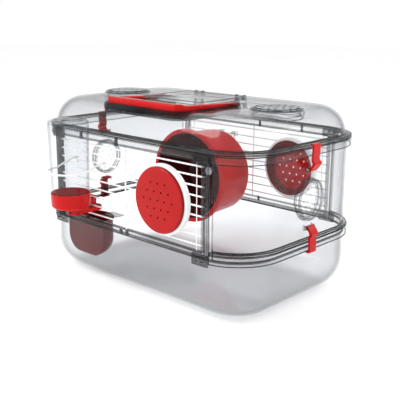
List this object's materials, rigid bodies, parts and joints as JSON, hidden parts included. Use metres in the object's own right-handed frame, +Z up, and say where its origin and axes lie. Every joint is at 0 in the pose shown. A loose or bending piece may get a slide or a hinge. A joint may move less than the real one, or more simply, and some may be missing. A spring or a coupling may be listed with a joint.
{
  "type": "small animal cage",
  "caption": "One-storey small-animal cage: clear tub and curved ends, wire front and back with round port caps, domed roof with hatch and handle, wheel, bottle and bowl.",
  "frame": {"origin": "middle of the tub's footprint, on the floor plane", "axes": "+X along the length to the right of the wire front, +Y from the wire front to the back, +Z up"},
  "size_m": [0.4232, 0.3393, 0.263],
  "materials": {
    "clear_plastic": "clear polished plastic",
    "smoked_plastic": "clear plastic seen edge on, smoky grey",
    "smoked_tray": "dark smoky plastic",
    "black_plastic": "dark snap hooks",
    "white_wire": "white coated wire",
    "white_plastic": "semi-gloss white plastic",
    "red_plastic": "gloss red plastic",
    "steel": "plain steel pins"
  },
  "bodies": {
    "cage": {"base_tub": "clear_plastic", "end_panel_left": "clear_plastic", "end_panel_right": "clear_plastic", "post_front_left": "smoked_plastic", "post_front_right": "smoked_plastic", "post_back_left": "smoked_plastic", "post_back_right": "smoked_plastic", "front_top_rail": "clear_plastic", "front_bottom_rail": "clear_plastic", "back_top_rail": "clear_plastic", "back_bottom_rail": "clear_plastic", "front_grille": "white_wire", "back_grille": "white_wire", "front_port_collar": "white_plastic", "back_port_collar": "white_plastic", "grille_snaps": "black_plastic", "lower_corner_locks": "smoked_plastic", "upper_corner_locks": "smoked_plastic", "clip_pins": "steel", "wheel_axle": "steel", "wheel_bracket": "clear_plastic", "bottle_cup": "red_plastic", "drinking_trough": "red_plastic", "bottle_holder": "white_wire"},
    "roof": {"roof_shell": "clear_plastic", "handle_tray": "smoked_tray", "handle_pins": "steel", "hatch_pins": "steel"},
    "vent_left": {"roof_vent_left": "clear_plastic"},
    "vent_right": {"roof_vent_right": "clear_plastic"},
    "handle": {"carry_handle": "red_plastic"},
    "hatch": {"hatch_lid": "clear_plastic"},
    "clip_tl": {"clip_top_left": "red_plastic"},
    "clip_tr": {"clip_top_right": "red_plastic"},
    "clip_bl": {"clip_bottom_left": "red_plastic"},
    "clip_br": {"clip_bottom_right": "red_plastic"},
    "wheel": {"wheel_drum": "red_plastic"},
    "cap_front": {"front_port_cap": "red_plastic"},
    "cap_back": {"back_port_cap": "red_plastic"},
    "plug_left": {"left_port_plug": "clear_plastic"},
    "plug_right": {"right_port_plug": "clear_plastic"},
    "bottle": {"bottle_shell": "clear_plastic"},
    "bowl": {"food_bowl": "red_plastic", "bowl_ledge": "clear_plastic"}
  },
  "joints": [
    {"name": "wheel_spin", "type": "hinge", "parent": "cage", "child": "wheel", "pos_m": [-0.053, 0.075, 0.13], "axis": [0, 1, 0], "continuous": true},
    {"name": "roof_lift", "type": "slide", "parent": "cage", "child": "roof", "axis": [0, 0, 1], "range_m": [0, 0.08]},
    {"name": "handle_fold", "type": "hinge", "parent": "roof", "child": "handle", "pos_m": [0, 0.005, 0.2512], "axis": [-1, 0, 0], "range_deg": [0, 90]},
    {"name": "hatch_open", "type": "hinge", "parent": "roof", "child": "hatch", "pos_m": [0, 0.051, 0.2582], "axis": [-1, 0, 0], "range_deg": [0, 100]},
    {"name": "vent_left_lift", "type": "slide", "parent": "roof", "child": "vent_left", "axis": [0, 0, 1], "range_m": [0, 0.025]},
    {"name": "vent_right_lift", "type": "slide", "parent": "roof", "child": "vent_right", "axis": [0, 0, 1], "range_m": [0, 0.025]},
    {"name": "clip_top_right_open", "type": "hinge", "parent": "cage", "child": "clip_tr", "pos_m": [0.202, 0, 0.186], "axis": [0, 1, 0], "range_deg": [0, 50]},
    {"name": "clip_top_left_open", "type": "hinge", "parent": "cage", "child": "clip_tl", "pos_m": [-0.202, 0, 0.186], "axis": [0, -1, 0], "range_deg": [0, 50]},
    {"name": "clip_bottom_right_open", "type": "hinge", "parent": "cage", "child": "clip_br", "pos_m": [0.202, 0, 0.1096], "axis": [0, -1, 0], "range_deg": [0, 50]},
    {"name": "clip_bottom_left_open", "type": "hinge", "parent": "cage", "child": "clip_bl", "pos_m": [-0.202, 0, 0.1096], "axis": [0, 1, 0], "range_deg": [0, 50]},
    {"name": "cap_front_pull", "type": "slide", "parent": "cage", "child": "cap_front", "axis": [0, -1, 0], "range_m": [0, 0.03]},
    {"name": "cap_back_pull", "type": "slide", "parent": "cage", "child": "cap_back", "axis": [0, 1, 0], "range_m": [0, 0.03]},
    {"name": "plug_right_pull", "type": "slide", "parent": "cage", "child": "plug_right", "axis": [1, 0, 0], "range_m": [0, 0.03]},
    {"name": "plug_left_pull", "type": "slide", "parent": "cage", "child": "plug_left", "axis": [-1, 0, 0], "range_m": [0, 0.03]},
    {"name": "bottle_lift", "type": "slide", "parent": "cage", "child": "bottle", "axis": [0, 0, 1], "range_m": [0, 0.06]},
    {"name": "bowl_lift", "type": "slide", "parent": "cage", "child": "bowl", "axis": [0, 0, 1], "range_m": [0, 0.007]}
  ]
}
